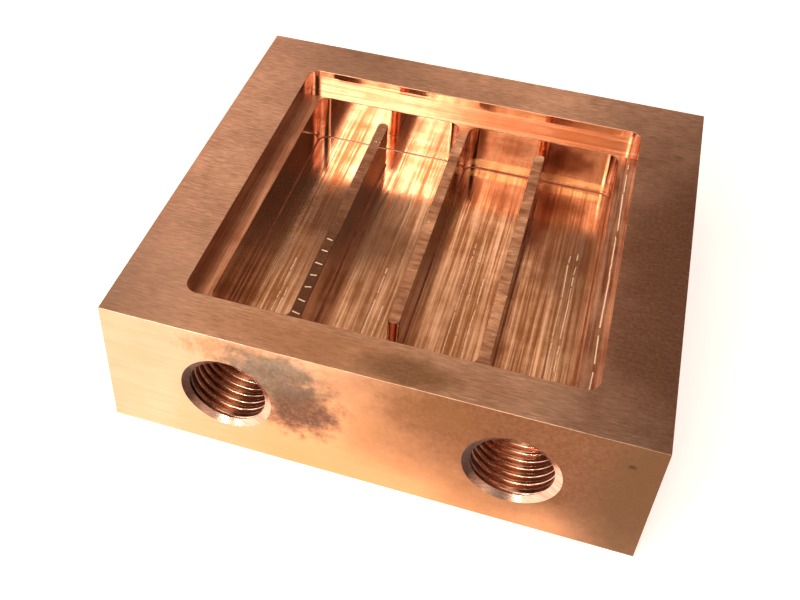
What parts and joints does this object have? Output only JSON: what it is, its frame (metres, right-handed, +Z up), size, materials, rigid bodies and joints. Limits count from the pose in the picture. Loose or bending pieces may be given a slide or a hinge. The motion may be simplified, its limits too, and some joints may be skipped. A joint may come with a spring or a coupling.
{
  "type": "liquid cooling cold plate body",
  "caption": "Milled copper block with a recess for a cover, a serpentine coolant channel between thin fins and threaded ports in its front face.",
  "frame": {"origin": "centre of the flat underside", "axes": "+X along the port face, +Y from the port face to the back, +Z up out of the open channels"},
  "size_m": [0.08, 0.0756, 0.024],
  "materials": {
    "copper": "milled, satin outside and near mirror in the channels"
  },
  "bodies": {
    "root": {"plate_body": "copper"}
  },
  "joints": []
}
